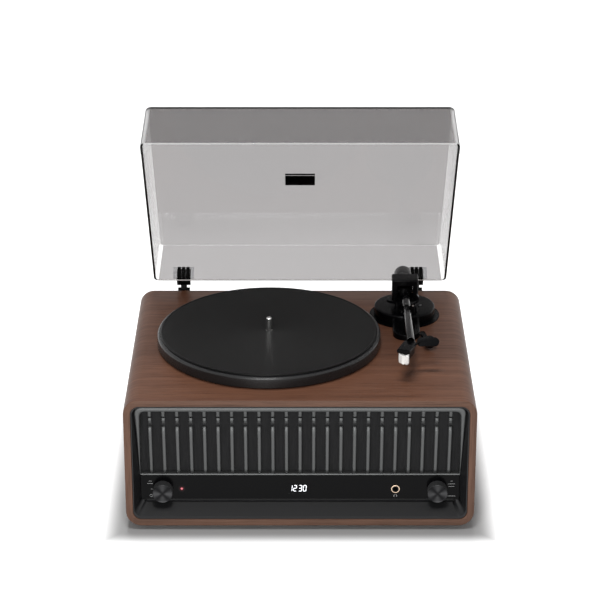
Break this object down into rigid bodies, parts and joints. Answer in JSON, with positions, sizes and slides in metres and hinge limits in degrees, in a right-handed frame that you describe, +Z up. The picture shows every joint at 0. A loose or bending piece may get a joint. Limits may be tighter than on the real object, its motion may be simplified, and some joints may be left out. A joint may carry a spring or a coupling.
{
  "type": "record player",
  "caption": "Table record player with a wood case, slatted speaker grille, control strip, tonearm and hinged clear cover.",
  "frame": {"origin": "on the spindle axis at the mat's top, where a record seats", "axes": "+Z up along the spindle, +X to the right seen from the front, +Y to the back"},
  "size_m": [0.446, 0.3984, 0.5038],
  "materials": {
    "walnut_veneer": "semi-gloss lacquered dark veneer",
    "raw_board": "raw particle board",
    "back_board": "black painted board",
    "screw_steel": "black oxide steel",
    "foot_rubber": "matt moulded rubber",
    "black_gloss": "polished black moulding",
    "grille_metal": "satin dark bronze lacquer",
    "speaker_cloth": "fine woven cloth",
    "basket_steel": "black enamelled pressing",
    "paper_cone": "pressed paper",
    "magnet_steel": "zinc plated",
    "smoked_window": "smoked polished acrylic",
    "display_black": "black seven-segment module",
    "lamp_red": "tinted clear lens",
    "socket_black": "moulded black",
    "brass_ring": "turned and polished",
    "circuit_board": "green solder mask",
    "spacer_nylon": "natural nylon",
    "heat_sink_aluminium": "extruded",
    "bush_brass": "sintered",
    "motor_steel": "zinc plated can",
    "belt_rubber": "flat ground belt",
    "arm_black": "fine satin moulding",
    "hinge_black": "satin moulding",
    "axle_steel": "ground bar",
    "smoked_acrylic": "clear acrylic with a light smoke tint",
    "bumper_rubber": "soft moulded pad",
    "badge_black": "plain black plate",
    "platter_black": "semi-gloss moulding",
    "mat_rubber": "matt ribbed rubber",
    "spindle_steel": "polished",
    "pulley_brass": "turned",
    "knob_aluminium": "spun face",
    "yoke_black": "satin moulding",
    "tube_black": "gloss black tube",
    "weight_black": "satin black",
    "head_black": "satin moulding",
    "cartridge_black": "moulded",
    "stylus_white": "white moulding"
  },
  "bodies": {
    "base": {"cabinet_shell": "walnut_veneer", "corner_blocks": "raw_board", "back_panel": "back_board", "case_screws": "screw_steel", "feet": "foot_rubber", "front_bezel": "black_gloss", "speaker_grille": "grille_metal", "grille_cloth": "speaker_cloth", "speaker_baffle": "raw_board", "speaker_baskets": "basket_steel", "speaker_cones": "paper_cone", "speaker_magnets": "magnet_steel", "control_panel": "black_gloss", "display_window": "smoked_window", "clock_display": "display_black", "indicator_lamp": "lamp_red", "headphone_socket": "socket_black", "headphone_nut": "brass_ring", "control_board": "circuit_board", "rotary_controls": "socket_black", "line_sockets": "socket_black", "mains_inlet": "socket_black", "board_spacers": "spacer_nylon", "amplifier_board": "circuit_board", "heat_sink": "heat_sink_aluminium", "supply_board": "circuit_board", "bearing_bush": "bush_brass", "motor": "motor_steel", "drive_belt": "belt_rubber", "tonearm_base": "arm_black", "arm_column": "arm_black", "arm_rest": "arm_black", "clip_pin": "axle_steel", "hinge_bases": "hinge_black", "hinge_pins": "axle_steel"},
    "dust_lid": {"dust_cover": "smoked_acrylic", "hinge_arms": "hinge_black", "lid_bumpers": "bumper_rubber", "lid_badge": "badge_black"},
    "turntable_platter": {"platter": "platter_black", "slip_mat": "mat_rubber", "spindle": "spindle_steel"},
    "motor_rotor": {"motor_shaft": "axle_steel", "motor_pulley": "pulley_brass"},
    "volume_control": {"volume_shaft": "axle_steel", "volume_knob": "knob_aluminium"},
    "source_control": {"source_shaft": "axle_steel", "source_knob": "knob_aluminium"},
    "arm_swivel": {"arm_yoke": "yoke_black", "arm_axle": "axle_steel"},
    "arm_beam": {"pivot_block": "arm_black", "arm_tube": "tube_black", "headshell": "head_black", "finger_lift": "head_black", "cartridge": "cartridge_black", "stylus": "stylus_white"},
    "balance_weight": {"counterweight": "weight_black"},
    "rest_clip": {"arm_clip": "arm_black"},
    "cue_handle": {"cue_lever": "arm_black"},
    "cue_bar": {"cue_lift": "arm_black"}
  },
  "joints": [
    {"name": "lid_hinge", "type": "hinge", "parent": "base", "child": "dust_lid", "pos_m": [0.041, 0.181, -0.0198], "axis": [1, 0, 0], "range_deg": [0, 54.1]},
    {"name": "platter_spin", "type": "hinge", "parent": "base", "child": "turntable_platter", "pos_m": [0, 0, 0], "axis": [0, 0, 1], "continuous": true},
    {"name": "motor_spin", "type": "hinge", "parent": "base", "child": "motor_rotor", "pos_m": [-0.0792, 0.0792, -0.0183], "axis": [0, 0, 1], "continuous": true},
    {"name": "volume_turn", "type": "hinge", "parent": "base", "child": "volume_control", "pos_m": [-0.1352, -0.16, -0.1543], "axis": [0, 1, 0], "range_deg": [-150, 150]},
    {"name": "source_turn", "type": "hinge", "parent": "base", "child": "source_control", "pos_m": [0.2172, -0.16, -0.1543], "axis": [0, 1, 0], "continuous": true},
    {"name": "arm_swing", "type": "hinge", "parent": "base", "child": "arm_swivel", "pos_m": [0.183, 0.09, -0.0183], "axis": [0, 0, -1], "range_deg": [0, 46]},
    {"name": "arm_lift", "type": "hinge", "parent": "arm_swivel", "child": "arm_beam", "pos_m": [0.183, 0.09, 0.0172], "axis": [-1, 0, 0], "range_deg": [0, 2.5]},
    {"name": "weight_slide", "type": "slide", "parent": "arm_beam", "child": "balance_weight", "axis": [0, 0.9995, -0.0302], "range_m": [-0.006, 0]},
    {"name": "clip_turn", "type": "hinge", "parent": "base", "child": "rest_clip", "pos_m": [0.191, 0.028, 0.02327], "axis": [0, -1, 0], "range_deg": [0, 120]},
    {"name": "cue_turn", "type": "hinge", "parent": "base", "child": "cue_handle", "pos_m": [0.201, 0.015, -0.0137], "axis": [-1, 0, 0], "range_deg": [0, 60]},
    {"name": "cue_rise", "type": "slide", "parent": "base", "child": "cue_bar", "axis": [0, 0, 1], "range_m": [0, 0.0014]}
  ],
  "couplings": [
    {"joint": "motor_spin", "follows": "platter_spin", "ratio": 16.454},
    {"joint": "cue_turn", "follows": "arm_lift", "ratio": 24},
    {"joint": "cue_rise", "follows": "arm_lift", "m_per_rad": 0.031}
  ]
}
